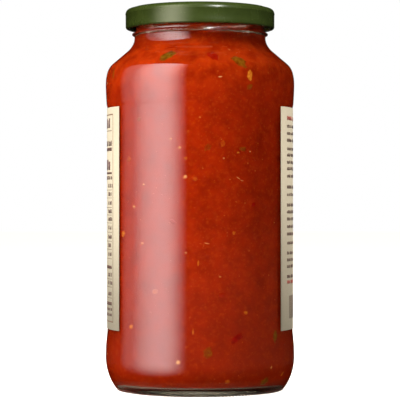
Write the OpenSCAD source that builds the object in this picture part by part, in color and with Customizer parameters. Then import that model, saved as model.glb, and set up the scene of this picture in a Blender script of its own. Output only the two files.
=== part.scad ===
// Shut glass jar of tomato sauce with a steel twist-off lid and a paper wrap label.
// Millimetres, +Z up. The origin is on the table, in the middle of the jar's foot.
// The side without a label faces -Y.

/* [Jar body] */
// Height of the glass from the table to the rim
jar_h = 168.9; // [140:0.1:203]
// Outer diameter over the two rolls that guard the label
body_d = 84; // [70:0.5:101]
// Thickness of the side wall at the rolls
wall = 2.6; // [2:0.1:3.6]
// Radius of the curve from the side down to the foot
heel_r = 23; // [19:0.5:26]
// Height at which that curve starts
heel_h = 14.5; // [12:0.5:17]
// Height of the shoulder from the side up to the neck
shoulder_h = 16.8; // [14:0.2:22]

/* [Base] */
// Width of the flat ring that the jar stands on
foot_w = 3.2; // [1.5:0.1:5]
// Height of the hollow under the base
push_up = 2.8; // [1:0.1:3.2]
// Height of the lowest ring of the floor inside
floor_h = 4.2; // [4:0.1:7]
// Rise of the middle of the floor inside
floor_dome = 2.4; // [1:0.1:4]
// Radius of the corner between floor and side wall inside
floor_corner = 9.5; // [5:0.5:11]

/* [Label panel] */
// How far the label panel lies below the rolls
panel_depth = 0.7; // [0.4:0.1:1.4]
// Height of the lower end of the panel
panel_low = 25.6; // [22:0.2:32]
// Height from the upper end of the panel to the shoulder
panel_to_shoulder = 12.9; // [10:0.1:18]

/* [Jar mouth] */
// Diameter over the threads
thread_d = 60.8; // [54:0.2:73]
// How far the threads stand out of the glass
thread_depth = 1.8; // [1.2:0.1:2.2]
// Width of a thread from its lower to its upper edge
thread_w = 1.5; // [1:0.1:2]
// Arc that each thread covers
thread_span = 60; // [40:1:75]
// Slope of the threads
thread_slope = 5.5; // [2:0.1:6]
// Width of the rim
rim_w = 2.3; // [2.2:0.1:3.2]
// Difference in radius between the threads and the bead below the lid
bead_inset = 0.1; // [0:0.1:0.5]
// Width of that bead from its lower to its upper edge
bead_w = 1.9; // [1.6:0.1:2.5]
// Difference in radius between the bead and the neck
neck_inset = 1.1; // [0.8:0.1:1.6]
// Height of the straight neck below the bead
neck_h = 2.3; // [1.5:0.1:4]

/* [Lid] */
// Height of the lid
lid_h = 9.4; // [9:0.1:11.5]
// Thickness of the sheet steel
steel_t = 0.3; // [0.2:0.05:0.5]
// Thickness of the seal between the lid and the rim
seal_t = 0.5; // [0.4:0.1:1]
// Radius of the rolled lower edge
curl_r = 1; // [0.8:0.05:1.2]
// Gap between the rolled edge and the threads
lid_gap = 0.75; // [0.5:0.05:1.5]
// Gap between the lid's lower edge and the bead
bead_gap = 0.95; // [0.6:0.05:2]
// Depth of the middle of the lid below its top ring
panel_drop = 1.1; // [0.6:0.1:1.6]
// Height of the top ring above the lid's shoulder
ring_h = 0.5; // [0.3:0.1:0.8]
// Radius of the lid's shoulder
lid_round = 1.9; // [1.5:0.1:2.5]
// Diameter of the safety button
button_d = 22; // [16:1:28]
// Depth of the safety button, which the vacuum holds down
button_dip = 0.5; // [0.2:0.1:0.8]
// Height of the lugs that hold under the threads
lug_h = 0.6; // [0.4:0.1:1]
// Gap between a lug and the thread above it
lug_gap = 0.15; // [0.1:0.05:0.4]
// Arc that each lug covers
lug_span = 12; // [8:1:16]

/* [Label] */
// Length of the label round the jar
label_w = 175.8; // [140:0.2:205]
// Thickness of the paper
paper_t = 0.12; // [0.08:0.01:0.3]
// Thickness of the glue line
glue_t = 0.03; // [0.02:0.01:0.05]
// Height of the label's lower edge above the lower end of its panel
label_low_gap = 1.8; // [1.3:0.1:8]
// Drop from the upper end of the panel to the label's upper edge
label_top_gap = 0.45; // [0.45:0.05:8]

/* [Sauce] */
// Height of the empty space between the sauce and the rim
headspace = 7; // [3:0.1:8.5]
// Gap that keeps the sauce clear of the glass
sauce_gap = 0.05; // [0.02:0.01:0.1]

/* [Hidden] */
$fn = 96;
// Largest angle between two points of a rounded corner
arc_step = 7.5;
// Threads on the mouth, and lugs on the lid
starts = 4;
// Direction of the middle of the first thread
first_thread = 280;
// Depth to which a thread's root lies in the wall
thread_root = 0.8;
// Share of a thread's depth that its upright edge takes
thread_crest = 0.5;
// How far a lug begins past the middle of its thread
lug_from = 3;
// Share of a thread's depth that a lug reaches under it
lug_reach = 0.4;
// Height of a lug above the lid's lower edge
lug_lift = 0.1;
// Height of the bevel on the foot's outer edge
foot_edge = 0.3;

// Rolls: the lower one slopes in over this height, the upper one steps out and then eases
low_roll_h = 5.8;
step_h = 1.1;
step_share = 0.45;
high_roll_h = 8;
roll_round = 60;
panel_round = 20;
step_round = 3;

// Shoulder: leans in by this much before and after its sweep, over these heights
shoulder_lean = 1.3;
bulge_h = 4.8;
sweep_h = 3.3;
bulge_round = 19;
bulge_bend = 8;
sweep_bend = 12;
neck_round = 7.5;
// Hollow corner between the neck and the bead above it
bead_root = 0.8;

// Radii, from the body in to the mouth
body_r = body_d / 2;
inner_r = body_r - wall;
panel_r = body_r - panel_depth;
thread_r = thread_d / 2;
finish_r = thread_r - thread_depth;
mouth_r = finish_r - rim_w;
bead_r = thread_r - bead_inset;
neck_r = bead_r - neck_inset;

// Heights, from the lid down
lid_top = jar_h + seal_t + steel_t;
lid_bottom = lid_top - lid_h;
lug_z = lid_bottom + lug_lift;
thread_z = lug_z + lug_h + lug_gap + thread_w / 2;
bead_top = lid_bottom - bead_gap;
bead_z = bead_top - bead_w;
neck_z = bead_z - neck_h;
shoulder_z = neck_z - shoulder_h;
panel_top = shoulder_z - panel_to_shoulder;
fill_z = jar_h - headspace;

// A corner is [radius, height, fillet radius], and an outline is a list of corners
function point(c) = [c[0], c[1]];
function unit(v) = v / norm(v);
function left_of(v) = [-v[1], v[0]];
function reverse(list) = [for (i = [len(list) - 1 : -1 : 0]) list[i]];
function toward(c, i) = unit(point(c[i + 1]) - point(c[i]));
function bend(c, i) = acos(max(-1, min(1, toward(c, i - 1) * toward(c, i))));
function is_inner(c, i) = i > 0 && i < len(c) - 1;

// Length that a fillet takes from its two sides, cut to its share of what they have
function wanted(c, i) = is_inner(c, i) ? c[i][2] * tan(bend(c, i) / 2) : 0;
function side(c, i) = norm(point(c[i + 1]) - point(c[i]));
function share(c, i, j) = min(1, side(c, min(i, j)) / max(0.001, wanted(c, i) + wanted(c, j)));
function taken(c, i) = wanted(c, i) * min(share(c, i, i - 1), share(c, i, i + 1));

// Points of one rounded corner
function fillet(c, i) =
    let (
        turn = bend(c, i),
        way = sign(cross(toward(c, i - 1), toward(c, i))),
        r = taken(c, i) / tan(turn / 2),
        out = -way * left_of(toward(c, i - 1)),
        centre = point(c[i]) - taken(c, i) * toward(c, i - 1) - r * out,
        steps = max(1, ceil(turn / arc_step))
    )
    [for (k = [0 : steps])
        let (a = way * turn * k / steps)
        centre + r * [out[0] * cos(a) - out[1] * sin(a), out[0] * sin(a) + out[1] * cos(a)]];

// Points of a whole outline
function rounded(c) =
    [for (i = [0 : len(c) - 1])
        each (is_inner(c, i) && c[i][2] > 0 && bend(c, i) > 0.01 ? fillet(c, i) : [point(c[i])])];

// The same outline, moved to its left by d
function inset(c, d) =
    [for (i = [0 : len(c) - 1])
        let (
            before = toward(c, max(0, i - 1)),
            after = toward(c, min(len(c) - 2, i)),
            normals = left_of(before) + left_of(after),
            p = point(c[i]) + 2 * d * normals / (normals * normals)
        )
        [p[0], p[1], c[i][2] > 0 ? max(0.1, c[i][2] - sign(cross(before, after)) * d) : 0]];

// Heel: one arc from the upright side in to the foot
heel_turn = asin((heel_h - foot_edge) / heel_r);
heel_steps = ceil(heel_turn / arc_step);
heel = [for (k = [heel_steps : -1 : 0])
    let (a = heel_turn * k / heel_steps)
    [body_r - heel_r * (1 - cos(a)), heel_h - heel_r * sin(a), 0]];
foot_r = heel[0][0] - foot_edge;
foot_in_r = foot_r - foot_w;

// Shoulder: bulges out of the side, then sweeps in to the neck
shoulder = [
    [body_r, shoulder_z, bulge_round],
    [body_r - shoulder_lean, shoulder_z + bulge_h, bulge_bend],
    [neck_r + shoulder_lean, neck_z - sweep_h, sweep_bend]
];

// Outside of the glass, from the middle of the base up to the rim
underside = [
    [0, push_up, 0],
    [foot_in_r - 10, 0.8 * push_up, 20],
    [foot_in_r, 0, 1],
    [foot_r, 0, 0]
];
side_wall = [
    [body_r, panel_low - low_roll_h, roll_round],
    [panel_r, panel_low, panel_round],
    [panel_r, panel_top, step_round],
    [panel_r + step_share * panel_depth, panel_top + step_h, 2 * step_round],
    [body_r, panel_top + high_roll_h, roll_round],
    each shoulder,
    [neck_r, neck_z, neck_round],
    [neck_r, bead_z, bead_root],
    [bead_r, bead_z + 0.1, 0.5],
    [bead_r, bead_top, 0.9],
    [finish_r, bead_top + 0.2, 0.5],
    [finish_r, jar_h, 1]
];

// Inside of the glass, from the middle of the floor up to the neck
shoulder_inside = inset([[body_r, heel_h, 0], each shoulder, [neck_r, neck_z, 0]], wall);
inside = [
    [0, floor_h + floor_dome, 0],
    [inner_r - 26, floor_h + floor_dome, 30],
    [inner_r - 13, floor_h, 20],
    [inner_r, floor_h, floor_corner],
    for (i = [1 : 3]) shoulder_inside[i],
    [mouth_r, neck_z, neck_round]
];

// Lid, from its middle out and down to the rolled edge
lid_r = thread_r + lid_gap + 2 * curl_r;
lug_r = thread_r - lug_reach * thread_depth;
button_r = button_d / 2;
ring_in = mouth_r - 0.7;
ring_out = finish_r + 1.3;
lid_skin = [
    [0, lid_top - panel_drop - button_dip, 0],
    [button_r - 3, lid_top - panel_drop - button_dip, 6],
    [button_r, lid_top - panel_drop, 6],
    [ring_in - 1.4, lid_top - panel_drop, 1.2],
    [ring_in, lid_top, 0.8],
    [ring_out, lid_top, 0.5],
    [ring_out + 0.6, lid_top - ring_h, 0.4],
    [lid_r, lid_top - ring_h, lid_round],
    [lid_r, lid_bottom + 2 * curl_r, 0]
];

module jar() {
    color("lightgray", 0.4)
    union() {
        rotate_extrude()
            polygon(rounded([
                each underside,
                each heel,
                each side_wall,
                [mouth_r, jar_h, 0.8],
                each reverse(inside)
            ]));
        for (k = [0 : starts - 1])
            rotate([0, 0, first_thread + k * 360 / starts])
                thread();
    }
}

// One sloping thread, with its middle towards +X
module thread() {
    crest_r = finish_r + thread_crest * thread_depth;
    chamfer = thread_r - crest_r;
    translate([0, 0, thread_z])
        rotate([thread_slope, 0, 0])
            rotate([0, 0, -thread_span / 2])
                rotate_extrude(angle = thread_span)
                    polygon([
                        [finish_r - thread_root, -thread_w / 2],
                        [crest_r, -thread_w / 2],
                        [thread_r, -thread_w / 2 + chamfer / 2],
                        [thread_r, thread_w / 2 - chamfer / 2],
                        [crest_r, thread_w / 2],
                        [finish_r - thread_root, thread_w / 2]
                    ]);
}

module lid() {
    color("darkolivegreen")
    union() {
        rotate_extrude()
            polygon([
                each rounded(lid_skin),
                for (a = [0 : -15 : -270])
                    [lid_r - curl_r * (1 - cos(a)), lid_bottom + curl_r * (1 + sin(a))],
                each reverse(rounded(inset(lid_skin, -steel_t)))
            ]);
        seal();
        for (k = [0 : starts - 1])
            rotate([0, 0, first_thread + lug_from + k * 360 / starts])
                lug();
    }
}

// Soft ring that is moulded into the lid and lies on the rim
module seal() {
    rotate_extrude()
        translate([mouth_r - 0.3, jar_h])
            square([rim_w + 0.9, seal_t + steel_t / 2]);
}

// One lug, bent in from the rolled edge
module lug() {
    rotate_extrude(angle = lug_span)
        translate([lug_r, lug_z])
            square([lid_r - curl_r - lug_r, lug_h]);
}

module sauce() {
    color("firebrick")
    rotate_extrude()
        polygon([
            each rounded(inset([each inside, [mouth_r, fill_z, 0]], sauce_gap)),
            [0, fill_z]
        ]);
}

module label() {
    paper_r = panel_r + glue_t;
    wrap = label_w / paper_r * 180 / PI;
    low = panel_low + label_low_gap;
    color("antiquewhite")
    rotate([0, 0, 90 - wrap / 2])
        rotate_extrude(angle = wrap)
            translate([paper_r, low])
                square([paper_t, panel_top - label_top_gap - low]);
}

jar();
lid();
sauce();
label();
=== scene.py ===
import bisect
import math
import random

import bpy
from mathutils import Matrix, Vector


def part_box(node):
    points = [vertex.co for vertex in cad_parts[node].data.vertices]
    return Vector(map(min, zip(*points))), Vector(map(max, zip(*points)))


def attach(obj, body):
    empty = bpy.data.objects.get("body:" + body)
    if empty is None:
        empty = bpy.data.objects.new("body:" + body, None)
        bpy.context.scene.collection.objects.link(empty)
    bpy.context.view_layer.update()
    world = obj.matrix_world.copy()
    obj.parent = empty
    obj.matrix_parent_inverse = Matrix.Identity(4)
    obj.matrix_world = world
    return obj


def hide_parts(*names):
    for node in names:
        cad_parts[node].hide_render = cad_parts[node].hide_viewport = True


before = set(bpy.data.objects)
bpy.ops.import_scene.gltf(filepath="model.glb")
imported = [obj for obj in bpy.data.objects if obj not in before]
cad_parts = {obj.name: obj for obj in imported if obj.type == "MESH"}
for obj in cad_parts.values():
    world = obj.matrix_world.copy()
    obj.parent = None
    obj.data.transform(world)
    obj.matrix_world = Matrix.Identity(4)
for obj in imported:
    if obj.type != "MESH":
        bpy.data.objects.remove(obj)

mm = 0.001
scene = bpy.context.scene
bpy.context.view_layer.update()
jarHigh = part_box("jar")[1]
lidLow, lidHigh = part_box("lid")
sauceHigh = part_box("sauce")[1]
labelLow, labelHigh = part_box("label")

bodyRadius = jarHigh.x / mm
rimHeight = jarHigh.z / mm
lidBottom = lidLow.z / mm
lidTop = lidHigh.z / mm
lidRadius = lidHigh.x / mm
fillHeight = sauceHigh.z / mm
paperLow = labelLow.z / mm
paperHigh = labelHigh.z / mm


def linear(hexColour):
    channels = [int(hexColour[i:i + 2], 16) / 255 for i in (1, 3, 5)]
    curve = [c / 12.92 if c <= 0.04045 else ((c + 0.055) / 1.055) ** 2.4 for c in channels]
    return (*curve, 1.0)


def addNode(tree, kind, inputs=None, settings=None, stops=None):  # a colour is given in hex
    node = tree.nodes.new(kind)
    for name, value in (settings or {}).items():
        setattr(node, name, value)
    for name, value in (inputs or {}).items():
        if isinstance(value, bpy.types.NodeSocket):
            tree.links.new(value, node.inputs[name])
        else:
            node.inputs[name].default_value = linear(value) if isinstance(value, str) else value
    if stops:  # a colour ramp's places and colours
        ramp = node.color_ramp
        while len(ramp.elements) < len(stops):
            ramp.elements.new(0.5)
        for element, (place, colour) in zip(ramp.elements, stops):
            element.position = place
            element.color = linear(colour)
    return node


def newMaterial(name):
    material = bpy.data.materials.new(name)
    material.use_nodes = True
    tree = material.node_tree
    tree.nodes.clear()
    place = addNode(tree, "ShaderNodeTexCoord").outputs["Object"]  # so patterns keep to the piece
    return material, tree, place


def perMm(size):  # texture scale for a pattern that repeats every so many millimetres
    return 1 / (size * mm)


def smooth(t):
    t = max(0.0, min(1.0, t))
    return t * t * (3 - 2 * t)


def joinRows(rows, sides):  # faces between rings of points, where a ring may be a single point
    faces = []
    for upper, lower in zip(rows, rows[1:]):
        for k in range(sides):
            n = (k + 1) % sides
            if len(upper) == 1:
                faces.append((upper[0], lower[k], lower[n]))
            elif len(lower) == 1:
                faces.append((upper[k], lower[0], upper[n]))
            else:
                faces.append((upper[k], lower[k], lower[n], upper[n]))
    return faces


def addPiece(name, verts, faces, material, slot, stands=None):
    mesh = bpy.data.meshes.new(name)
    mesh.from_pydata(verts, [], faces)
    mesh.validate()
    piece = bpy.data.objects.new(name, mesh)
    scene.collection.objects.link(piece)
    mesh.materials.append(material)
    mesh.shade_smooth()
    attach(piece, "root")
    if stands:
        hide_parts(stands)
    return piece


# An outline runs from the middle outward and up; a corner is (radius, height, fillet radius)
def roundCorners(corners, turnStep=3.0, closest=0.02):
    places = [Vector(c[:2]) for c in corners]
    wanted = [0.0] * len(corners)
    turns = [0.0] * len(corners)
    for i in range(1, len(corners) - 1):
        before = (places[i] - places[i - 1]).normalized()
        after = (places[i + 1] - places[i]).normalized()
        turns[i] = math.atan2(before.x * after.y - before.y * after.x, before.dot(after))
        wanted[i] = corners[i][2] * math.tan(abs(turns[i]) / 2)
    points = []
    for i, place in enumerate(places):
        if wanted[i] < 1e-6:
            points.append(tuple(place))
            continue
        toLast = (places[i - 1] - place)
        toNext = (places[i + 1] - place)
        shareLast = toLast.length / max(1e-9, wanted[i] + wanted[i - 1])
        shareNext = toNext.length / max(1e-9, wanted[i] + wanted[i + 1])
        taken = wanted[i] * min(1.0, shareLast, shareNext)
        radius = taken / math.tan(abs(turns[i]) / 2)
        start = place + toLast.normalized() * taken
        side = -toLast.normalized()
        inward = Vector((-side.y, side.x)) * math.copysign(1, turns[i])
        centre = start + inward * radius
        steps = max(2, math.ceil(math.degrees(abs(turns[i])) / turnStep))
        for k in range(steps + 1):
            a = turns[i] * k / steps
            arm = -inward * radius
            points.append((centre.x + arm.x * math.cos(a) - arm.y * math.sin(a),
                           centre.y + arm.x * math.sin(a) + arm.y * math.cos(a)))
    return [p for i, p in enumerate(points) if i == 0 or math.dist(p, points[i - 1]) > closest]


def moveOut(points, distance):  # the outline moved to its right, which is outward on the glass
    moved = []
    for i, (r, h) in enumerate(points):
        before = Vector(points[max(0, i - 1)])
        after = Vector(points[min(len(points) - 1, i + 1)])
        way = (after - before).normalized()
        moved.append((max(0.0, r + way.y * distance), h - way.x * distance))
    return moved


def divide(points, low, high, step):  # extra points where the outline runs between two heights
    made = [points[0]]
    for a, b in zip(points, points[1:]):
        inside = min(a[1], b[1]) >= low and max(a[1], b[1]) <= high
        parts = max(1, math.ceil(math.dist(a, b) / step)) if inside else 1
        made += [(a[0] + (b[0] - a[0]) * k / parts, a[1] + (b[1] - a[1]) * k / parts)
                 for k in range(1, parts + 1)]
    return made


def lathe(outline, segments, shape=None, closed=False):
    # shape moves a point by its radius, height and angle; a closed outline joins its own start
    verts, faces, rings = [], [], []
    for r, h in outline:
        if r < 1e-4:
            rings.append([len(verts)] * segments)
            verts.append((0, 0, h * mm))
            continue
        rings.append(list(range(len(verts), len(verts) + segments)))
        for k in range(segments):
            a = 2 * math.pi * k / segments
            rr, hh = shape(r, h, a) if shape else (r, h)
            verts.append((rr * math.cos(a) * mm, rr * math.sin(a) * mm, hh * mm))
    pairs = list(zip(rings, rings[1:])) + ([(rings[-1], rings[0])] if closed else [])
    for lower, upper in pairs:
        for k in range(segments):
            n = (k + 1) % segments
            face = [lower[k], lower[n], upper[n], upper[k]]
            face = [v for i, v in enumerate(face) if v != face[i - 1]]
            if len(face) > 2:
                faces.append(face)
    return verts, faces


# Camera, level with the middle of the jar
cameraSet = {
    "distance": 803,  # from the jar's axis
    "height": 84.3,
    "lens": 161.9,
}
camera = bpy.data.objects.new("camera", bpy.data.cameras.new("camera"))
scene.collection.objects.link(camera)
camera.location = (0, -cameraSet["distance"] * mm, cameraSet["height"] * mm)
camera.rotation_euler = (math.pi / 2, 0, 0)
camera.data.lens = cameraSet["lens"]
camera.data.clip_start = 0.01
scene.camera = camera
scene.view_settings.view_transform = "Standard"
print("stage: camera set")


# Glass jar: sizes in millimetres, radii from its axis and heights from its foot
jarSet = {
    "segments": 432,
    "outsideStep": 4.5,  # degrees that one facet of a fillet turns
    "insideStep": 5,
    "wall": 2.6,
    "heelRadius": 23,
    "heelHeight": 14.5,
    "heelLow": 0.3,  # where the heel's curve meets the foot
    "heelFacets": 16,
    "footWidth": 3.2,
    "footRound": 1,
    "pushUp": 2.8,
    "pushUpEdge": 10,
    "pushUpEase": 0.8,
    "pushUpRound": 20,
    "floorHeight": 4.2,
    "floorRound": 9.5,
    "floorDome": 2.4,
    "domeEdge": 26,
    "domeRound": 30,
    "dishEdge": 13,
    "dishRound": 20,
    "panelDepth": 0.7,
    "panelLow": 25.6,
    "panelRound": 20,
    "panelTop": 125.45,
    "lowRoll": 5.8,
    "topRoll": 8,
    "rollRound": 60,
    "ledgeShare": 0.45,
    "ledgeHeight": 1.1,
    "ledgeFoot": 3,
    "ledgeRound": 6,
    "shoulder": 138.35,
    "shoulderRound": 19,
    "shoulderIn": 1.3,
    "shoulderUp": 4.8,
    "shoulderTurn": 8,
    "neck": 155.15,
    "neckRadius": 29.2,
    "neckIn": 1.3,
    "neckDown": 3.3,
    "neckTurn": 12,
    "neckRound": 7.5,
    "insideDown": 0.35,  # how the glass thickens a little through the shoulder
    "insideIn": 1.15,
    "insideUp": 3.7,
    "insideNeckIn": 1.0,
    "insideNeckDown": 3.9,
    "beadRadius": 30.3,
    "beadLow": 157.45,
    "beadDraft": 0.1,
    "beadNose": 158.25,
    "beadTop": 158.85,
    "beadRoot": 0.8,
    "beadRound": 0.5,
    "beadEase": 0.4,
    "finishRadius": 28.6,
    "finishLow": 159.35,  # the threads lie above this
    "finishClear": 0.5,
    "mouthRadius": 26.3,
    "rimOutside": 1,
    "rimInside": 0.8,
    "threadStep": 0.3,
    "threadDepth": 1.8,
    "threadWidth": 1.5,
    "threadFoot": 0.2,
    "threadSides": 2.2,
    "threadHeight": 161.9,
    "threadSpan": 60,
    "threadEnds": 4,  # degrees over which a thread runs out
    "threadSlope": 5.5,
    "firstThread": 280,
    "threads": 4,
    "knurls": 144,
    "knurlDepth": 0.8,
    "knurlHeight": 1.4,
    "knurlSlant": 2.2,
    "knurlStep": 0.35,
    "knurlWidth": 12,  # how far in from the body the knurled ring reaches
    "frostLow": 0.6,
    "frostHigh": 2.2,
}


def heelPoints():
    s = jarSet
    turn = math.asin((s["heelHeight"] - s["heelLow"]) / s["heelRadius"])
    facets = s["heelFacets"]
    return [(bodyRadius - s["heelRadius"] * (1 - math.cos(turn * k / facets)),
             s["heelHeight"] - s["heelRadius"] * math.sin(turn * k / facets), 0)
            for k in range(facets, -1, -1)]


def outsideCorners():
    s = jarSet
    heel = heelPoints()
    foot = heel[0][0] - s["heelLow"]
    footIn = foot - s["footWidth"]
    panel = bodyRadius - s["panelDepth"]
    ledge = panel + s["ledgeShare"] * s["panelDepth"]
    return [
        (0, s["pushUp"], 0),
        (footIn - s["pushUpEdge"], s["pushUpEase"] * s["pushUp"], s["pushUpRound"]),
        (footIn, 0, s["footRound"]),
        (foot, 0, 0),
        *heel,
        (bodyRadius, s["panelLow"] - s["lowRoll"], s["rollRound"]),
        (panel, s["panelLow"], s["panelRound"]),
        (panel, s["panelTop"], s["ledgeFoot"]),
        (ledge, s["panelTop"] + s["ledgeHeight"], s["ledgeRound"]),
        (bodyRadius, s["panelTop"] + s["topRoll"], s["rollRound"]),
        (bodyRadius, s["shoulder"], s["shoulderRound"]),
        (bodyRadius - s["shoulderIn"], s["shoulder"] + s["shoulderUp"], s["shoulderTurn"]),
        (s["neckRadius"] + s["neckIn"], s["neck"] - s["neckDown"], s["neckTurn"]),
        (s["neckRadius"], s["neck"], s["neckRound"]),
        (s["neckRadius"], s["beadLow"], s["beadRoot"]),
        (s["beadRadius"], s["beadLow"] + s["beadDraft"], s["beadRound"]),
        (s["beadRadius"], s["beadNose"], s["beadEase"]),
        (s["finishRadius"], s["beadTop"], s["beadEase"]),
        (s["finishRadius"], rimHeight, s["rimOutside"]),
        (s["mouthRadius"], rimHeight, s["rimInside"]),
    ]


def insideCorners():  # from the middle of the floor up to the neck
    s = jarSet
    inner = bodyRadius - s["wall"]
    neckInner = s["neckRadius"] - s["wall"]
    return [
        (0, s["floorHeight"] + s["floorDome"], 0),
        (inner - s["domeEdge"], s["floorHeight"] + s["floorDome"], s["domeRound"]),
        (inner - s["dishEdge"], s["floorHeight"], s["dishRound"]),
        (inner, s["floorHeight"], s["floorRound"]),
        (inner, s["shoulder"] - s["insideDown"], s["shoulderRound"] - s["wall"]),
        (inner - s["insideIn"], s["shoulder"] + s["insideUp"], s["shoulderTurn"] - s["wall"]),
        (neckInner + s["insideNeckIn"], s["neck"] - s["insideNeckDown"], s["neckTurn"] + s["wall"]),
        (s["mouthRadius"], s["neck"], s["neckRound"]),
    ]


def threadRise(angle, height):
    s = jarSet
    rise = 0.0
    for k in range(s["threads"]):
        middle = s["firstThread"] + 360 * k / s["threads"]
        offset = (math.degrees(angle) - middle + 180) % 360 - 180
        centre = s["threadHeight"] + s["finishRadius"] * math.sin(math.radians(offset)) * math.sin(
            math.radians(s["threadSlope"]))
        across = abs(height - centre) / (s["threadWidth"] / 2 + s["threadFoot"])
        along = (s["threadSpan"] / 2 - abs(offset)) / s["threadEnds"]
        rise = max(rise, s["threadDepth"] * smooth(s["threadSides"] * (1 - across)) * smooth(along))
    return rise


def jarShape(r, h, angle):
    s = jarSet
    outsideFinish = r > s["finishRadius"] - 0.05  # a little slack, for rounding
    if outsideFinish and s["finishLow"] < h < rimHeight - s["finishClear"]:
        return r + threadRise(angle, h), h
    if h < s["knurlHeight"] and r > bodyRadius - s["knurlWidth"]:  # stippled foot
        wave = 0.5 - 0.5 * math.cos(angle * s["knurls"] + s["knurlSlant"] * r)
        fade = 1 - h / s["knurlHeight"]
        return r - 0.5 * s["knurlDepth"] * wave * fade, h + s["knurlDepth"] * wave * fade
    return r, h


def flintGlass():
    # Clear soda-lime glass, blown in a mould: smooth, a little grey-green at its edges, and
    # frosted at the stippled foot, which scatters light.
    material, tree, place = newMaterial("flintGlass")
    wave = addNode(tree, "ShaderNodeTexNoise", {"Vector": place, "Scale": perMm(14), "Detail": 1.0})
    bump = addNode(tree, "ShaderNodeBump", {
        "Height": wave.outputs["Fac"], "Strength": 0.03, "Distance": 1 * mm})
    split = addNode(tree, "ShaderNodeSeparateXYZ", {0: place})
    frost = addNode(tree, "ShaderNodeMapRange", {
        "Value": split.outputs["Z"], "From Min": jarSet["frostLow"] * mm,
        "From Max": jarSet["frostHigh"] * mm, "To Min": 0.4, "To Max": 0.06})
    glass = addNode(tree, "ShaderNodeBsdfPrincipled", {
        "Base Color": "#f6faf6", "Roughness": frost.outputs["Result"], "IOR": 1.52,
        "Transmission Weight": 1.0, "Normal": bump.outputs["Normal"]})
    clear = addNode(tree, "ShaderNodeBsdfTransparent", {"Color": "#f6faf6"})
    path = addNode(tree, "ShaderNodeLightPath")
    mix = addNode(tree, "ShaderNodeMixShader", {
        0: path.outputs["Is Shadow Ray"], 1: glass.outputs[0], 2: clear.outputs[0]})
    addNode(tree, "ShaderNodeOutputMaterial", {"Surface": mix.outputs[0]})
    return material


outside = roundCorners(outsideCorners(), jarSet["outsideStep"])
outside = divide(outside, 0, jarSet["knurlHeight"] + 0.1, jarSet["knurlStep"])
outside = divide(outside, jarSet["finishLow"], rimHeight, jarSet["threadStep"])
inside = roundCorners(insideCorners(), jarSet["insideStep"])
jarOutline = outside + list(reversed(inside))
jar = addPiece("glassJar", *lathe(jarOutline, jarSet["segments"], jarShape), flintGlass(), "glass", "jar")
print("stage: glass jar made")


# Twist-off lid, and the lugs that its rolled edge is pressed into
lidSet = {
    "segments": 288,
    "steel": 0.3,
    "curl": 1.0,
    "curlSide": 0.7,
    "curlStep": 10,
    "curlEnd": 270,
    "ring": 0.5,
    "round": 1.9,
    "bead": 167.0,  # a fine raised line where the shoulder meets the skirt
    "beadRise": 0.16,
    "beadFlat": 0.1,
    "beadAbove": 0.25,
    "beadBelow": 0.3,
    "beadRound": 0.15,
    "beadFoot": 0.1,
    "ringIn": 25.6,
    "ringOut": 29.9,
    "ringSlope": 1.4,
    "ringFoot": 1.2,
    "ringRound": 0.8,
    "ringEdge": 0.5,
    "ringStep": 0.6,
    "stepRound": 0.4,
    "drop": 1.1,
    "button": 11,
    "buttonSlope": 3,
    "buttonRound": 6,
    "dip": 0.5,
    "lugReach": 29.7,
    "lugSpan": 12,
    "lugEase": 3,
    "lugTurn": 289,
    "lugHeight": 0.45,
    "lugPinch": 0.6,
    "lugs": 4,
}


def lidSkin():
    s = lidSet
    floor = lidTop - s["drop"]
    ledge = lidTop - s["ring"]
    nose = lidRadius + s["beadRise"]
    return roundCorners([
        (0, floor - s["dip"], 0),
        (s["button"] - s["buttonSlope"], floor - s["dip"], s["buttonRound"]),
        (s["button"], floor, s["buttonRound"]),
        (s["ringIn"] - s["ringSlope"], floor, s["ringFoot"]),
        (s["ringIn"], lidTop, s["ringRound"]),
        (s["ringOut"], lidTop, s["ringEdge"]),
        (s["ringOut"] + s["ringStep"], ledge, s["stepRound"]),
        (lidRadius, ledge, s["round"]),
        (lidRadius, s["bead"] + s["beadAbove"], s["beadFoot"]),
        (nose, s["bead"] + s["beadFlat"], s["beadRound"]),
        (nose, s["bead"] - s["beadFlat"], s["beadRound"]),
        (lidRadius, s["bead"] - s["beadBelow"], s["beadFoot"]),
        (lidRadius, lidBottom + 2 * s["curl"], 0),
    ])


def lidShape(r, h, angle):  # the rolled edge is pressed in to a lug at four places
    s = lidSet
    side = lidRadius - s["curl"] * s["curlSide"]
    if h > lidBottom + 2 * s["curl"] or r > side:
        return r, h
    offset = min(abs((math.degrees(angle) - s["lugTurn"] - 360 * k / s["lugs"] + 180) % 360 - 180)
                 for k in range(s["lugs"]))
    press = smooth((s["lugSpan"] / 2 - offset) / s["lugEase"] + 0.5)
    inner = lidRadius - 2 * s["curl"]
    share = smooth((side - r) / (side - inner))
    middle = lidBottom + s["lugHeight"]
    return r - press * share * (inner - s["lugReach"]), h + press * share * s["lugPinch"] * (middle - h)


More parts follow.
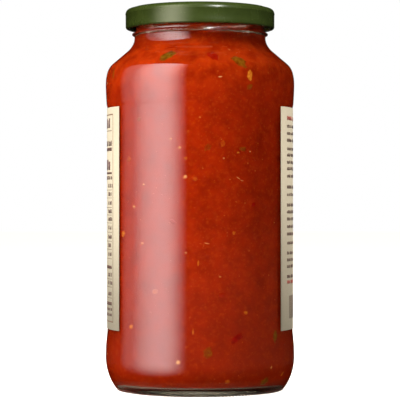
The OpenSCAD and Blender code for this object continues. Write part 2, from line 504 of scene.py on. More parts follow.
def lacqueredTinplate():
    # Tin-plated steel with a baked satin green lacquer: soft highlights over a dark leaf green.
    material, tree, place = newMaterial("lacqueredTinplate")
    cloud = addNode(tree, "ShaderNodeTexNoise", {"Vector": place, "Scale": perMm(6), "Detail": 4.0})
    colour = addNode(tree, "ShaderNodeValToRGB", {"Fac": cloud.outputs["Fac"]}, stops=[
        (0.3, "#2b3513"), (0.7, "#323d17")])
    peel = addNode(tree, "ShaderNodeTexNoise", {"Vector": place, "Scale": perMm(0.7), "Detail": 2.0})
    rough = addNode(tree, "ShaderNodeMapRange", {
        "Value": cloud.outputs["Fac"], "To Min": 0.24, "To Max": 0.3})
    bump = addNode(tree, "ShaderNodeBump", {
        "Height": peel.outputs["Fac"], "Strength": 0.08, "Distance": 0.05 * mm})
    lacquer = addNode(tree, "ShaderNodeBsdfPrincipled", {
        "Base Color": colour.outputs["Color"], "Roughness": rough.outputs["Result"],
        "IOR": 1.5, "Normal": bump.outputs["Normal"]})
    addNode(tree, "ShaderNodeOutputMaterial", {"Surface": lacquer.outputs[0]})
    return material


skin = lidSkin()
curlTurns = [math.radians(-a) for a in range(lidSet["curlStep"], lidSet["curlEnd"] + 1, lidSet["curlStep"])]
curl = [(lidRadius - lidSet["curl"] * (1 - math.cos(a)), lidBottom + lidSet["curl"] * (1 + math.sin(a)))
        for a in curlTurns]
lining = list(reversed(moveOut(skin, lidSet["steel"])))
lidVerts, lidFaces = lathe(skin + curl + lining, lidSet["segments"], lidShape)
lidFaces = [list(reversed(face)) for face in lidFaces]
lid = addPiece("lidTinplate", lidVerts, lidFaces, lacqueredTinplate(), "lid", "lid")

# The seal moulded into the lid, which lies on the rim of the jar
sealSet = {
    "segments": 144,
    "inside": 0.3,
    "outside": 0.6,
    "thick": 0.5,
    "round": 0.2,
    "roundStep": 15,
    "seam": 1.0,  # the outline starts this far along the flat underside
}


def plastisolSeal():
    # Foamed soft vinyl, poured into the lid and baked: matt and off-white.
    material, tree, place = newMaterial("plastisolSeal")
    cells = addNode(tree, "ShaderNodeTexNoise", {"Vector": place, "Scale": perMm(0.8), "Detail": 3.0})
    colour = addNode(tree, "ShaderNodeValToRGB", {"Fac": cells.outputs["Fac"]}, stops=[
        (0.3, "#d8d2c0"), (0.7, "#e6e1d2")])
    vinyl = addNode(tree, "ShaderNodeBsdfPrincipled", {
        "Base Color": colour.outputs["Color"], "Roughness": 0.6, "IOR": 1.53})
    addNode(tree, "ShaderNodeOutputMaterial", {"Surface": vinyl.outputs[0]})
    return material


def sealOutline():
    s = sealSet
    sealIn = jarSet["mouthRadius"] - s["inside"]
    sealOut = jarSet["finishRadius"] + s["outside"]
    seam = (sealIn + s["seam"], rimHeight, 0)
    sealTop = rimHeight + s["thick"]
    return roundCorners([
        seam, (sealOut, rimHeight, s["round"]), (sealOut, sealTop, s["round"]),
        (sealIn, sealTop, s["round"]), (sealIn, rimHeight, s["round"]), seam], s["roundStep"])[:-1]


sealMesh = lathe(sealOutline(), sealSet["segments"], None, True)
seal = addPiece("lidSeal", *sealMesh, plastisolSeal(), "lid")
print("stage: lid made")


# Sauce: colours from deep to pale, and by height in the jar, with painted light on the shoulder and a
# painted shadow of the lid in the neck
sauceSet = {
    "segments": 288,
    "intoGlass": 0.1,  # the sauce wets the glass, so no air shows between them
    "dark": "#7a1501",
    "low": "#801802",
    "base": "#8e1d02",
    "high": "#9a2804",  # painted light: paler in the shoulder, which faces up to the lamps
    "neck": "#5e0f01",  # painted shadow of the lid: darker in the neck under it
    "light": "#a83c0a",
    "grain": "#b8581c",
}


def seenInGlass(tree, flesh):
    # Where light grazes the wet contact inside the glass it is mirrored, as 1.35 is below 1.52.
    mirror = addNode(tree, "ShaderNodeBsdfGlossy", {"Color": "#d8cebe", "Roughness": 0.15})
    graze = addNode(tree, "ShaderNodeFresnel", {"IOR": 1.35 / 1.52})
    mix = addNode(tree, "ShaderNodeMixShader", {
        0: graze.outputs[0], 1: flesh.outputs[0], 2: mirror.outputs[0]})
    addNode(tree, "ShaderNodeOutputMaterial", {"Surface": mix.outputs[0]})


def tomatoSauce():
    # Cooked tomato pulp in oil and water: wet, opaque, finely grained, with soft darker clouds.
    s = sauceSet
    material, tree, place = newMaterial("tomatoSauce")
    clouds = addNode(tree, "ShaderNodeTexNoise", {
        "Vector": place, "Scale": perMm(7), "Detail": 4.0, "Roughness": 0.6})
    pulp = addNode(tree, "ShaderNodeTexNoise", {
        "Vector": place, "Scale": perMm(2.2), "Detail": 3.0, "Roughness": 0.65})
    grain = addNode(tree, "ShaderNodeTexVoronoi", {
        "Vector": place, "Scale": perMm(1.6), "Randomness": 1.0})
    split = addNode(tree, "ShaderNodeSeparateXYZ", {0: place})
    rise = addNode(tree, "ShaderNodeMapRange", {
        "Value": split.outputs["Z"], "From Max": fillHeight * mm})
    # painted light and shade by height: the upturned shoulder is painted paler as if lit, and the neck is
    # painted dark as the lid's shadow
    byHeightWithPaintedLight = addNode(tree, "ShaderNodeValToRGB", {"Fac": rise.outputs["Result"]}, stops=[
        (0.0, s["low"]), (0.3, s["base"]), (0.8, s["base"]),
        (0.88, s["high"]), (0.93, s["high"]), (0.965, s["neck"])])
    cloudShare = addNode(tree, "ShaderNodeMapRange", {
        "Value": clouds.outputs["Fac"], "From Min": 0.3, "From Max": 0.6})
    cloudColour = addNode(tree, "ShaderNodeMix", {
        0: cloudShare.outputs["Result"], 6: s["dark"], 7: byHeightWithPaintedLight.outputs["Color"]}, {"data_type": "RGBA"})
    pulpShare = addNode(tree, "ShaderNodeMapRange", {
        "Value": pulp.outputs["Fac"], "From Min": 0.5, "From Max": 0.85, "To Max": 0.42})
    withPulp = addNode(tree, "ShaderNodeMix", {
        0: pulpShare.outputs["Result"], 6: cloudColour.outputs[2], 7: s["light"]}, {"data_type": "RGBA"})
    grainShare = addNode(tree, "ShaderNodeMapRange", {
        "Value": grain.outputs["Distance"], "From Min": 0.3, "From Max": 0.1, "To Max": 0.12})
    withGrain = addNode(tree, "ShaderNodeMix", {
        0: grainShare.outputs["Result"], 6: withPulp.outputs[2], 7: s["grain"]}, {"data_type": "RGBA"})
    flesh = addNode(tree, "ShaderNodeBsdfPrincipled", {
        "Base Color": withGrain.outputs[2], "Roughness": 0.5, "IOR": 1.35,
        "Specular IOR Level": 0.0})
    seenInGlass(tree, flesh)
    return material


# The glass's inside, moved a little into the glass, up to the level of the sauce
wallLine = moveOut(inside, sauceSet["intoGlass"])
wallLine.append((wallLine[-1][0], fillHeight))
sauceMesh = lathe(wallLine + [(0, fillHeight)], sauceSet["segments"])
addPiece("sauceFill", *sauceMesh, tomatoSauce(), "sauce", "sauce")
print("stage: sauce made")


# Bits in the sauce: leaf, skin, pepper, seed and pulp, each a thin lens that breaks the skin
bitsSet = {
    "seed": 11,
    "sides": 14,
    "small": 1.1,  # a bit no longer than this has fewer sides
    "smallSides": 8,
    "spread": 1.04,  # the wall draws what it covers toward the middle, so bits lie a little wider
    "proud": 0.09,  # how far the middle of a bit stands out of the sauce, into the glass
    "reach": 0.57,  # from the middle to the rim, for a length of 1, as the rim is below the sauce
    "rings": [  # share of the reach, share of proud, and how far the sauce covers it
        (0.0, 1.0, 0.0),
        (0.45, 0.85, 0.0),
        (0.8, 0.35, 0.3),
        (1.0, -0.5, 0.85),
    ],
    "keel": 0.7,  # share of the reach and of the thickness, on the side away from the glass
    "ragged": 0.22,
    "leavesHidden": 24,  # how many there are where the jar's far side and label hide them
    "skinsHidden": 10,
    "pepperHidden": 34,
    "seedsHidden": 36,
    "hiddenHeights": (6, 150),
    "hiddenLean": 80,
    "turnedAway": 66,  # degrees from the front, past which bits are strewn by chance
    "specks": 420,
    "speckSize": (0.35, 0.95),
    "speckHeights": (5, 152),
    "speckSlim": (0.4, 1),
    "speckSunk": (0.5, 0.9),
    "speckThick": 0.2,
}
strew = random.Random(bitsSet["seed"])

runs = [0.0]  # lengths along the wall line, from the middle of the floor
for lower, upper in zip(wallLine, wallLine[1:]):
    runs.append(runs[-1] + math.dist(lower, upper))
outward = []
for i in range(len(wallLine)):
    way = Vector(wallLine[min(len(wallLine) - 1, i + 1)]) - Vector(wallLine[max(0, i - 1)])
    outward.append(Vector((way.y, -way.x)).normalized())


def onWall(run, lift=0.0):  # radius and height, a length along the wall line
    i = min(max(1, bisect.bisect(runs, run)), len(runs) - 1)
    share = (run - runs[i - 1]) / (runs[i] - runs[i - 1])
    place = Vector(wallLine[i - 1]).lerp(Vector(wallLine[i]), share)
    return place + outward[i - 1].lerp(outward[i], share).normalized() * lift


def runAt(height):
    for i in range(len(wallLine) - 1, 0, -1):
        if wallLine[i - 1][1] <= height:
            share = (height - wallLine[i - 1][1]) / max(1e-6, wallLine[i][1] - wallLine[i - 1][1])
            return runs[i - 1] + share * (runs[i] - runs[i - 1])
    return runs[0]


def addBit(shape, side, height, long, wide, tilt, sunk, thick):
    # side is in degrees from the front, to the right; sunk is the share of sauce over the bit
    s = bitsSet
    verts, faces, cover = shape
    sides = s["sides"] if long > s["small"] else s["smallSides"]
    middle = runAt(height)
    around = math.radians(side) - math.pi / 2
    radius = onWall(middle).x
    turn = math.radians(tilt)
    edge = [1 + s["ragged"] * strew.uniform(-1, 1) for _ in range(sides)]
    layers = [(share, s["proud"] * rise, fade) for share, rise, fade in s["rings"]]
    layers += [(s["keel"], -s["keel"] * thick, 1.0), (0.0, -thick, 1.0)]
    rows = []
    for share, lift, fade in layers:
        row = []
        for k in range(sides if share else 1):
            a = 2 * math.pi * k / sides
            x = s["reach"] * long * share * edge[k] * math.cos(a)
            y = s["reach"] * wide * share * edge[k] * math.sin(a)
            along = x * math.cos(turn) - y * math.sin(turn)
            up = x * math.sin(turn) + y * math.cos(turn)
            r, h = onWall(middle + up, lift)
            b = around + along / radius
            row.append(len(verts))
            verts.append((r * math.cos(b) * mm, r * math.sin(b) * mm, h * mm))
            cover.append(sunk + (1 - sunk) * fade)
        rows.append(row)
    faces += joinRows(rows, sides)


def strewBits(shape, count, sides, heights, lean, long, slim, sunk, thick):
    for _ in range(count):
        size = strew.uniform(*long)
        addBit(shape, strew.uniform(*sides), strew.uniform(*heights), size,
               size * strew.uniform(*slim), strew.uniform(-lean, lean), strew.uniform(*sunk), thick)


def bitInSauce(name, dark, light, patternSize):
    material, tree, place = newMaterial(name)
    pattern = addNode(tree, "ShaderNodeTexNoise", {
        "Vector": place, "Scale": perMm(patternSize), "Detail": 3.0, "Roughness": 0.6})
    own = addNode(tree, "ShaderNodeValToRGB", {"Fac": pattern.outputs["Fac"]}, stops=[
        (0.35, dark), (0.65, light)])
    cover = addNode(tree, "ShaderNodeAttribute", settings={"attribute_name": "cover"})
    blend = addNode(tree, "ShaderNodeMix", {
        0: cover.outputs["Fac"], 6: own.outputs["Color"], 7: sauceSet["base"]}, {"data_type": "RGBA"})
    flesh = addNode(tree, "ShaderNodeBsdfPrincipled", {
        "Base Color": blend.outputs[2], "Roughness": 0.5, "IOR": 1.35, "Specular IOR Level": 0.0})
    seenInGlass(tree, flesh)
    return material


def addBitsPiece(name, shape, material):
    verts, faces, cover = shape
    piece = addPiece(name, verts, faces, material, "sauce")
    layer = piece.data.attributes.new("cover", "FLOAT", "POINT")
    layer.data.foreach_set("value", cover)
    return piece


def basilLeaf():
    # Chopped basil and oregano, cooked: limp, dark olive green, browned by the sauce over it.
    return bitInSauce("basilLeaf", "#2c2803", "#66540c", 1.8)


def tomatoSkin():
    # Curled scraps of tomato and chilli skin: deeper and purer red than the pulp.
    return bitInSauce("tomatoSkin", "#6c0201", "#8a0602", 1.6)


def pepperFlesh():
    # Diced carrot and pepper: orange, translucent at the edges.
    return bitInSauce("pepperFlesh", "#b05410", "#d28022", 0.9)


def tomatoSeed():
    # Tomato seeds and garlic crumbs: pale straw, the brightest bits in the jar.
    return bitInSauce("tomatoSeed", "#cc8040", "#ecb474", 0.8)


def tomatoPulp():
    # Grains of tomato flesh: a lighter orange than the sauce, mostly sunk in it.
    return bitInSauce("tomatoPulp", "#a84c14", "#c87030", 0.7)


# Bits at the front: degrees to the right, height, length, width, tilt, share sunk
leaves = [
    (-22, 145.1, 7.8, 5.2, 42, 0.2),
    (24.6, 142.9, 8, 4.8, -40, 0.35),
    (30.5, 132.7, 3.2, 2.2, 20, 0.6),
    (4.6, 106.7, 3.6, 2.6, 60, 0.7),
    (26, 106, 3.2, 2.4, 0, 0.6),
    (4.4, 19.3, 5.2, 3.7, 80, 0.5),
    (45, 6.6, 4.6, 4, 30, 0.3),
    (51.5, 25.4, 6, 2.8, 82, 0.35),
    (-39, 119, 2.4, 1.6, 30, 0.6),
]
skins = [
    (8.3, 145, 7.2, 4, -60, 0.3),
    (22, 25.2, 6.4, 3, 33, 0.0),
    (33.4, 82.4, 2.4, 1.7, 40, 0.1),
    (-16, 75, 3.2, 1.8, -30, 0.6),
    (13, 44, 3, 2, 10, 0.6),
]
peppers = [
    (30.6, 137.3, 4.4, 2.5, 82, 0.0),
    (13.4, 108.4, 3.2, 2, 80, 0.8),
    (-2.7, 93.2, 2.2, 1.8, 0, 0.8),
    (-8.5, 102, 1.5, 1.3, 0, 0.65),
    (-47.6, 101.9, 2.6, 2.2, 0, 0.75),
    (-53, 69.7, 3, 2.4, 30, 0.5),
    (20.2, 70.3, 1.7, 1.5, 0, 0.65),
    (-1, 57.4, 2.6, 0.9, 85, 0.55),
    (28, 36.2, 1.9, 1.6, 0, 0.5),
    (-45.5, 29.6, 2.2, 1.8, 0, 0.35),
    (-4, 28.2, 2.8, 0.8, 88, 0.6),
    (17.2, 7.4, 2, 2.2, 0, 0.6),
    (61, 8.8, 2.6, 1.2, 60, 0.45),
    (23, 104.5, 1.2, 0.8, 0, 0.4),
]
seeds = [
    (11.8, 136.6, 1.7, 0.6, 5, 0.5),
    (22, 147.9, 0.9, 0.7, 0, 0.5),
    (-8.7, 94.1, 1.8, 1.3, 40, 0.35),
    (-12, 106.6, 1.4, 1.1, 0, 0.5),
    (-17.4, 110.3, 1.1, 0.9, 0, 0.4),
    (-35.5, 90.9, 1.2, 1, 0, 0.4),
    (-43, 81.4, 1.4, 1.1, 0, 0.4),
    (23.2, 93.6, 2.2, 0.45, -32, 0.6),
    (25.4, 92.6, 1.9, 0.4, -14, 0.65),
    (31, 105, 0.9, 0.7, 0, 0.55),
    (14, 102, 1.0, 0.8, 0, 0.65),
    (-36.5, 65.6, 1.6, 1.3, 0, 0.65),
    (4, 65.9, 2.6, 0.45, -12, 0.55),
    (-8.3, 61.9, 1.1, 0.9, 0, 0.6),
    (11.8, 51.7, 1.1, 0.9, 0, 0.65),
    (-27.5, 45.1, 3, 2.2, 20, 0.85),
    (-12.7, 15.3, 2, 1.6, 25, 0.25),
    (47.4, 12.2, 1.3, 0.8, 60, 0.4),
]
# name, those placed, material, how many are hidden, and their length, slimness, depth and thickness
kinds = [
    ("herbFlakes", leaves, basilLeaf, "leavesHidden", (2.4, 6.2), (0.35, 0.6), (0.2, 0.65), 0.3),
    ("skinPieces", skins, tomatoSkin, "skinsHidden", (2.6, 5.4), (0.4, 0.7), (0.1, 0.6), 0.3),
    ("pepperPieces", peppers, pepperFlesh, "pepperHidden", (1.3, 3.6), (0.4, 0.9), (0.25, 0.5), 0.6),
    ("tomatoSeeds", seeds, tomatoSeed, "seedsHidden", (0.9, 2.4), (0.4, 0.9), (0.2, 0.55), 0.4),
]
behind = (bitsSet["turnedAway"], 360 - bitsSet["turnedAway"])
for name, placed, finish, hidden, long, slim, sunk, thick in kinds:
    shape = ([], [], [])
    for side, height, length, width, tilt, share in placed:
        addBit(shape, side * bitsSet["spread"], height, length, width, tilt, share, thick)
    strewBits(shape, bitsSet[hidden], behind, bitsSet["hiddenHeights"],
              bitsSet["hiddenLean"], long, slim, sunk, thick)
    addBitsPiece(name, shape, finish())

shape = ([], [], [])
strewBits(shape, bitsSet["specks"], (-180, 180), bitsSet["speckHeights"], 90, bitsSet["speckSize"],
          bitsSet["speckSlim"], bitsSet["speckSunk"], bitsSet["speckThick"])
addBitsPiece("pulpGrains", shape, tomatoPulp())
print("stage: bits in the sauce made")


# Label, wrapped round the back of the jar
labelSet = {
    "wrap": 243.7,  # degrees of the jar that the paper covers
    "radius": 41.33,
    "paper": 0.12,
    "facet": 1.2,  # the longest flat stretch as the paper goes round
    "ink": 0.03,
    "dark": "#b6a88e",
    "light": "#c0b399",
}
halfLength = math.radians(labelSet["wrap"] / 2) * labelSet["radius"]


def onLabel(along, height, lift=0.0):
    # along runs from the label's middle, which faces +Y, to the right as it is read
    radius = labelSet["radius"] + lift
    angle = math.pi / 2 + along / labelSet["radius"]
    return (radius * math.cos(angle) * mm, radius * math.sin(angle) * mm, height * mm)


def uncoatedPaper():
    # Uncoated cream paper: matt, with short fibres that show as a faint mottle.
    material, tree, place = newMaterial("uncoatedPaper")
    fibre = addNode(tree, "ShaderNodeTexNoise", {
        "Vector": place, "Scale": perMm(0.9), "Detail": 4.0, "Roughness": 0.7})
    colour = addNode(tree, "ShaderNodeValToRGB", {"Fac": fibre.outputs["Fac"]}, stops=[
        (0.3, labelSet["dark"]), (0.7, labelSet["light"])])
    bump = addNode(tree, "ShaderNodeBump", {
        "Height": fibre.outputs["Fac"], "Strength": 0.25, "Distance": 0.02 * mm})
    paper = addNode(tree, "ShaderNodeBsdfPrincipled", {
        "Base Color": colour.outputs["Color"], "Roughness": 0.75, "IOR": 1.45,
        "Normal": bump.outputs["Normal"]})
    addNode(tree, "ShaderNodeOutputMaterial", {"Surface": paper.outputs[0]})
    return material


def slabs(patches, bottom, top):
    # each patch is (start, end, low, high); the slabs lie between two lifts above the glue
    verts, faces = [], []
    for start, end, low, high in patches:
        columns = max(1, math.ceil(abs(end - start) / labelSet["facet"]))
        w = columns + 1
        o = len(verts)
        verts += [onLabel(start + (end - start) * i / columns, height, lift)
                  for lift in (bottom, top) for height in (low, high) for i in range(w)]
        for i in range(columns):
            a, b, c, d = o + i, o + i + 1, o + w + i + 1, o + w + i
            e, f, g, h = a + 2 * w, b + 2 * w, c + 2 * w, d + 2 * w
            faces += [(a, b, c, d), (h, g, f, e), (e, f, b, a), (c, g, h, d)]
        faces += [(o, o + w, o + 3 * w, o + 2 * w),
                  (o + columns, o + 2 * w + columns, o + 3 * w + columns, o + w + columns)]
    return verts, faces


paperMesh = slabs([(-halfLength, halfLength, paperLow, paperHigh)], 0, labelSet["paper"])
label = addPiece("labelPaper", *paperMesh, uncoatedPaper(), "label", "label")
labelPieces = [label]
print("stage: label made")


# Label print: rules, bars and blocks in place of every word, with no lettering
printSet = {
    "seed": 5,
    "margin": 6.2,  # from the label's ends to what is printed
    "block": 0.7,  # length of one block of small type
    "blocks": (2, 7),  # in one word
    "blockShare": (0.5, 1.5),
    "drops": (0, 0, 0.2),  # how much lower some blocks are, as a share of their height
    "gap": 0.35,
    "edge": 0.5,
    "brown": "#5a3e34",
    "buff": "#80614a",
    "plum": "#5c3438",
    "red": "#a03024",
    "green": "#3f5a24",
}
words = random.Random(printSet["seed"])
patches = {shade: [] for shade in ("brown", "buff", "plum", "red", "green")}


def wordRow(shade, start, end, middle, tall, block=printSet["block"]):
    # a row of small blocks in groups, like words set in type too small to read
    along = start
    left = words.randint(*printSet["blocks"])
    while along < end:
        length = block * words.uniform(*printSet["blockShare"])
        drop = words.choice(printSet["drops"]) * tall
        patches[shade].append((along, along + length, middle - tall / 2, middle + tall / 2 - drop))
        left -= 1
        along += length + (printSet["gap"] * block if left else 0.5 * tall + 0.3)
        left = left or words.randint(*printSet["blocks"])


def rule(shade, start, end, height, thick):
    patches[shade].append((start, end, height - thick / 2, height + thick / 2))


# The table of facts, at the end of the label that is read last
factsSet = {
    "width": 46,
    "low": 30.9,
    "high": 121.8,
    "pad": 1.5,
    "heads": [  # shade, start, end, height, type, block
        ("plum", 0, 41.5, 118.1, 4.2, 2.2),
        ("brown", 0, 31, 112.5, 1.3, 0.7),
        ("brown", 0, 42, 109.2, 2.3, 1.1),
        ("brown", 0, 22, 99.8, 2.6, 1.4),
        ("plum", 31, 41, 99.8, 4.6, 2.1),
        ("brown", 29, 43, 94.1, 1.6, 0.7),
    ],
    "lines": (92.4, 88.7, 85.2, 81, 77.7, 74.2, 70.1, 66.2, 62.6, 58.5),
    "lastLines": (51.5, 48, 43.2),
    "type": 1.7,
    "name": 21,
    "lastName": 24,
    "share": 6,
    "hair": 0.2,
    "hairDrop": 1.9,
    "notes": (36.3, 33.9),
    "noteType": 1.2,
    "bars": [(114.7, 0.25), (106.6, 1.4), (96.1, 0.9), (54.8, 1.4), (38.8, 1.4)],
}


def factsPanel(right):
    s = factsSet
    left = right - s["width"]
    for height in (s["low"], s["high"]):
        rule("buff", left, right, height, printSet["edge"])
    half = printSet["edge"] / 2
    for side in (left, right):
        patches["buff"].append((side - half, side + half, s["low"], s["high"]))
    left += s["pad"]
    right -= s["pad"]
    for shade, start, end, height, tall, block in s["heads"]:
        wordRow(shade, left + start, left + end, height, tall, block)
    for top, bottom in zip(s["lines"], s["lines"][1:]):
        wordRow("brown", left, left + s["name"], (top + bottom) / 2, s["type"])
        wordRow("brown", right - s["share"], right, (top + bottom) / 2, s["type"])
        rule("brown", left, right, bottom, s["hair"])
    for height in s["lastLines"]:
        wordRow("brown", left, left + s["lastName"], height, s["type"])
        wordRow("brown", right - s["share"], right, height, s["type"])
        rule("brown", left, right, height - s["hairDrop"], s["hair"])
    for height in s["notes"]:
        wordRow("brown", left, right, height, s["noteType"])
    for height, thick in s["bars"]:
        rule("brown", left, right, height, thick)


# The story, at the end that is read first: rows of small type over a bar code
storySet = {
    "width": 40,
    "head": (32, 120.2, 1.8),  # length, height, type
    "foot": (26, 48.4, 1.5),
    "rows": (116.7, 113.6, 110.5, 106.8, 104, 100.9, 98.1, 94.8, 90, 86.7, 82.1, 79.1, 76, 72.7,
             69.4, 65.5, 61.1, 58.1, 55.2, 50.8),
    "type": 1.35,
    "raggedEnd": 9,
    "codeStart": 3.2,
    "codeEnd": 31,
    "codeLow": 32.3,
    "codeHigh": 42.3,
    "codeBars": (0.35, 0.35, 0.7, 1.05),
    "codeGaps": (0.4, 0.4, 0.8),
}


def storyPanel(left):
    s = storySet
    length, height, tall = s["head"]
    wordRow("red", left, left + length, height, tall)
    for height in s["rows"]:
        end = left + s["width"] - words.uniform(0, s["raggedEnd"])
        wordRow("brown", left, end, height, s["type"])
    length, height, tall = s["foot"]
    wordRow("red", left, left + length, height, tall)
    along = left + s["codeStart"]
    while along < left + s["codeEnd"]:
        thick = words.choice(s["codeBars"])
        patches["brown"].append((along, along + thick, s["codeLow"], s["codeHigh"]))
        along += thick + words.choice(s["codeGaps"])


# The front, which faces away: a plain tomato between two green bands
frontSet = {
    "middle": -3,
    "half": 33,
    "bands": ((118.5, 122.3), (30.4, 34.2)),
    "rules": (116.6, 36.1),
    "words": [  # shade, start, end, height, type, block
        ("brown", -22, 19, 109, 6.5, 3.4),
        ("brown", -15, 14, 101.6, 2.6, 1.4),
        ("green", -19, 18, 52.5, 3.4, 1.9),
        ("brown", -13, 13, 46.4, 1.8, 0.7),
    ],
    "bar": (26, 41.4, 1.2),  # half its length, height, thickness
    "tomatoHeight": 76.5,
    "tomatoRadius": 17,
    "tomatoWider": 0.09,
    "tomatoDip": 2.2,
    "dipWidth": 0.3,
    "calyxUp": 15.2,
    "calyxRadius": 2.6,
    "leafLength": 5.6,
    "leafPoint": 1.6,
    "rings": 16,
    "sides": 96,
}


def frontPanel():
    s = frontSet
    left = s["middle"] - s["half"]
    right = s["middle"] + s["half"]
    for low, high in s["bands"]:
        patches["green"].append((left, right, low, high))
    for height in s["rules"]:
        rule("buff", left, right, height, printSet["edge"])
    for shade, start, end, height, tall, block in s["words"]:
        wordRow(shade, s["middle"] + start, s["middle"] + end, height, tall, block)
    half, height, thick = s["bar"]
    rule("red", s["middle"] - half, s["middle"] + half, height, thick)


def tomatoRadius(a):  # wider than tall, with a dip at the top
    s = frontSet
    dip = s["tomatoDip"] * math.exp(-((a - math.pi / 2) / s["dipWidth"]) ** 2)
    return s["tomatoRadius"] * (1 + s["tomatoWider"] * math.cos(2 * a)) - dip


def calyxRadius(a):  # five leaf tips
    s = frontSet
    tips = 0.5 + 0.5 * math.cos(5 * (a - math.pi / 2))
    return s["calyxRadius"] + s["leafLength"] * tips ** s["leafPoint"]


def printedShape(height, radiusAt):
    # a closed flat shape on the label, round its middle, whose edge a function of the angle gives
    middle, rings, sides = frontSet["middle"], frontSet["rings"], frontSet["sides"]
    low = labelSet["paper"]
    steps = [(k / rings, low + labelSet["ink"]) for k in range(rings + 1)]
    steps += [(k / rings, low) for k in range(rings, -1, -1)]
    verts, rows = [], []
    for share, lift in steps:
        row = []
        for k in range(sides if share else 1):
            a = 2 * math.pi * k / sides
            reach = radiusAt(a) * share
            row.append(len(verts))
            verts.append(onLabel(middle + reach * math.cos(a), height + reach * math.sin(a), lift))
        rows.append(row)
    return verts, joinRows(rows, sides)


def joinMeshes(first, second):
    offset = len(first[0])
    return first[0] + second[0], first[1] + [tuple(v + offset for v in f) for f in second[1]]


def printedInk(name, shade):
    # Offset ink soaked into the paper: matt, a little uneven where the fibres take less.
    material, tree, place = newMaterial(name)
    soak = addNode(tree, "ShaderNodeTexNoise", {
        "Vector": place, "Scale": perMm(0.5), "Detail": 3.0, "Roughness": 0.7})
    bare = addNode(tree, "ShaderNodeMapRange", {
        "Value": soak.outputs["Fac"], "From Min": 0.5, "From Max": 0.9, "To Max": 0.4})
    colour = addNode(tree, "ShaderNodeMix", {
        0: bare.outputs["Result"], 6: shade, 7: labelSet["light"]}, {"data_type": "RGBA"})
    ink = addNode(tree, "ShaderNodeBsdfPrincipled", {
        "Base Color": colour.outputs[2], "Roughness": 0.6, "IOR": 1.5})
    addNode(tree, "ShaderNodeOutputMaterial", {"Surface": ink.outputs[0]})
    return material


factsPanel(halfLength - printSet["margin"])
storyPanel(-halfLength + printSet["margin"])
frontPanel()
shapes = {
    "red": printedShape(frontSet["tomatoHeight"], tomatoRadius),
    "green": printedShape(frontSet["tomatoHeight"] + frontSet["calyxUp"], calyxRadius),
}
for shade, printed in patches.items():
    inkMesh = slabs(printed, labelSet["paper"], labelSet["paper"] + labelSet["ink"])
    if shade in shapes:
        inkMesh = joinMeshes(inkMesh, shapes[shade])
    name = "ink" + shade.capitalize()
    labelPieces.append(addPiece(name, *inkMesh, printedInk(name, printSet[shade]), "label"))
print("stage: label printed")


# Floor, light and surroundings, in metres; a panel is its centre, aim, width, height and radiance
studioSet = {
    "keySide": -50,  # degrees to the left of the camera, seen from the jar
    "keyDistance": 0.65,
    "keySpan": (-1.3, 0.47),  # the panel's sides, from the middle of that direction
    "keyReach": (-0.375, 0.97),  # its lower and upper edges
    "keyFades": [  # axis, where it is dim, where it is full, and how dim
        ("X", -1.3, -0.5, 0.0),
        ("X", -0.6, 0.03, 0.17),
        ("X", 0.47, 0.07, 0.0),
        ("Y", -0.375, -0.05, 0.0),
        ("Y", -0.1, 0.6, 0.8),
    ],
    "keyRadiance": 7.35,
    "lidFades": [
        ("X", -0.36, 0.1, 0.0),
        ("X", 0.5, 0.07, 0.0),
    ],
    "lidRadiance": 6.6,
    "lidTint": "#fffcdc",
    "glint": ((0.3, -0.6, 0.5), (0, 0, 0.165), 0.06, 0.06, 480.0),
    "back": ((0.065, 0.47, 0.88), (0, 0, 0.15), 0.15, 0.08, 180.0),
    "top": ((0.1, -0.45, 0.95), (0, 0, 0.13), 0.5, 0.4, 9.0),
    "fill": ((0.9, 0.1, 0.3), (0, 0, 0.09), 0.8, 0.8, 2.4),
    "label": ((0.9, -0.1, 0.25), (0, 0, 0.08), 0.6, 0.6, 3.7),
    "ambient": 0.22,
    "floorHalf": 4,
    "board": "#f0f0f0",
    "boardGlow": "#fff4e6",
    "glowFrom": 0.04,  # the board's glow, as seen through the glass, grows between these distances from the jar's axis: painted shade under the jar
    "glowTo": 0.14,
    "glowSpan": (0.03, 1.9),
    "glowOnSauce": 0.12,
}


def addPanel(name, centre, aim, width, height, radiance):
    data = bpy.data.lights.new(name, "AREA")
    data.shape = "RECTANGLE"
    data.size = width
    data.size_y = height
    data.energy = radiance * math.pi * width * height
    panel = bpy.data.objects.new(name, data)
    scene.collection.objects.link(panel)
    panel.location = centre
    panel.rotation_euler = (Vector(aim) - Vector(centre)).to_track_quat("-Z", "Y").to_euler()
    panel.visible_camera = False
    return panel


def fadeEdges(panel, span, reach, fades):  # a softbox that is brightest in its middle
    panel.data.use_nodes = True
    tree = panel.data.node_tree
    tree.nodes.clear()
    place = addNode(tree, "ShaderNodeNewGeometry")
    split = addNode(tree, "ShaderNodeSeparateXYZ", {0: place.outputs["Parametric"]})
    share = 1.0
    for axis, dim, full, least in fades:
        low, high = span if axis == "X" else reach
        fade = addNode(tree, "ShaderNodeMapRange", {
            "Value": split.outputs[axis], "From Min": (dim - low) / (high - low),
            "From Max": (full - low) / (high - low), "To Min": least}, {"interpolation_type": "SMOOTHSTEP"})
        product = addNode(tree, "ShaderNodeMath", {
            0: fade.outputs["Result"], 1: share}, {"operation": "MULTIPLY"})
        share = product.outputs[0]
    glow = addNode(tree, "ShaderNodeEmission", {"Strength": share})
    addNode(tree, "ShaderNodeOutputLight", {"Surface": glow.outputs[0]})


def linkLight(lamp, name, pieces, state, role="receiver_collection"):
    # the lamp lights just these pieces, or all but these, or these cast no shadow from it
    group = bpy.data.collections.new(name)
    for piece in pieces:
        group.objects.link(piece)
    for entry in group.collection_objects:
        entry.light_linking.link_state = state
    setattr(lamp.light_linking, role, group)


def noGlint(lamp):
    lamp.visible_glossy = False
    lamp.visible_transmission = False


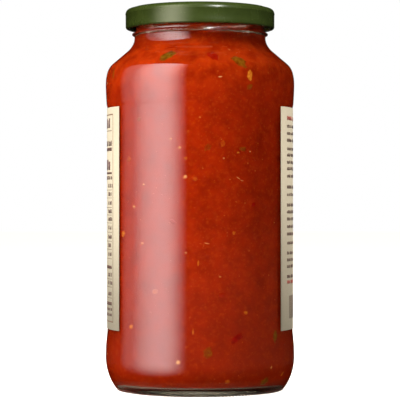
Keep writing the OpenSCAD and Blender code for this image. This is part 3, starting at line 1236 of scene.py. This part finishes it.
def keyPanel(name, radiance, fades):
    s = studioSet
    side = math.radians(s["keySide"])
    toKey = Vector((math.sin(side), -math.cos(side), 0))
    toRight = Vector((math.cos(side), math.sin(side), 0))
    low, high = s["keyReach"]
    left, right = s["keySpan"]
    centre = toKey * s["keyDistance"] + toRight * (left + right) / 2 + Vector((0, 0, (low + high) / 2))
    panel = addPanel(name, centre, centre - toKey, right - left, high - low, radiance)
    fadeEdges(panel, s["keySpan"], s["keyReach"], fades)
    return panel


key = keyPanel("keyPanel", studioSet["keyRadiance"], studioSet["keyFades"])
linkLight(key, "notLid", [lid], "EXCLUDE")
lidKey = keyPanel("lidPanel", studioSet["lidRadiance"], studioSet["lidFades"])
lidKey.data.color = linear(studioSet["lidTint"])[:3]
linkLight(lidKey, "lidOnly", [lid], "INCLUDE")
lidGlint = addPanel("glintPanel", *studioSet["glint"])
linkLight(lidGlint, "lidGlintOnly", [lid], "INCLUDE")
back = addPanel("backPanel", *studioSet["back"])
linkLight(back, "glassOnly", [jar], "INCLUDE")
linkLight(back, "pastLid", [lid, seal], "EXCLUDE", "blocker_collection")
top = addPanel("topPanel", *studioSet["top"])
noGlint(top)
fill = addPanel("fillPanel", *studioSet["fill"])
noGlint(fill)
linkLight(fill, "notLidFill", [lid], "EXCLUDE")
labelFill = addPanel("labelPanel", *studioSet["label"])
noGlint(labelFill)
linkLight(labelFill, "labelOnly", labelPieces, "INCLUDE")

world = bpy.data.worlds.new("studio")
scene.world = world
world.use_nodes = True
world.node_tree.nodes.clear()
seen = addNode(world.node_tree, "ShaderNodeLightPath")
strength = addNode(world.node_tree, "ShaderNodeMapRange", {
    "Value": seen.outputs["Is Camera Ray"], "To Min": studioSet["ambient"], "To Max": 1.0})
sky = addNode(world.node_tree, "ShaderNodeBackground", {
    "Color": (1, 1, 1, 1), "Strength": strength.outputs["Result"]})
addNode(world.node_tree, "ShaderNodeOutputWorld", {"Surface": sky.outputs[0]})
world.cycles_visibility.glossy = False


def studioFloor():
    # Matt white board that glows, so it stays plain white; near the jar it glows less into the glass, a
    # painted shade under the jar and painted light further out
    s = studioSet
    material, tree, place = newMaterial("studioFloor")
    path = addNode(tree, "ShaderNodeLightPath")
    aside = addNode(tree, "ShaderNodeVectorMath", {0: place}, {"operation": "LENGTH"})
    # painted shade under the jar and painted light beyond it, for rays that reach the board through the
    # glass
    paintedShadeUnderJar = addNode(tree, "ShaderNodeMapRange", {
        "Value": aside.outputs["Value"], "From Min": s["glowFrom"], "From Max": s["glowTo"],
        "To Min": s["glowSpan"][0], "To Max": s["glowSpan"][1]}, {"interpolation_type": "SMOOTHSTEP"})
    throughGlass = addNode(tree, "ShaderNodeMapRange", {
        "Value": path.outputs["Is Camera Ray"], "To Min": paintedShadeUnderJar.outputs["Result"], "To Max": 1.0})
    glow = addNode(tree, "ShaderNodeMapRange", {
        "Value": path.outputs["Diffuse Depth"], "To Min": throughGlass.outputs["Result"],
        "To Max": s["glowOnSauce"]})
    board = addNode(tree, "ShaderNodeBsdfPrincipled", {
        "Base Color": s["board"], "Roughness": 0.9,
        "Emission Color": s["boardGlow"], "Emission Strength": glow.outputs["Result"]})
    addNode(tree, "ShaderNodeOutputMaterial", {"Surface": board.outputs[0]})
    return material


floorMesh = bpy.data.meshes.new("floor")
half = studioSet["floorHalf"]
floorCorners = [(-half, -half, 0), (half, -half, 0), (half, half, 0), (-half, half, 0)]
floorMesh.from_pydata(floorCorners, [], [(0, 1, 2, 3)])
floorMesh.materials.append(studioFloor())
floor = bpy.data.objects.new("floor", floorMesh)
scene.collection.objects.link(floor)
floor.visible_glossy = False
floor.visible_diffuse = False
print("stage: studio set")
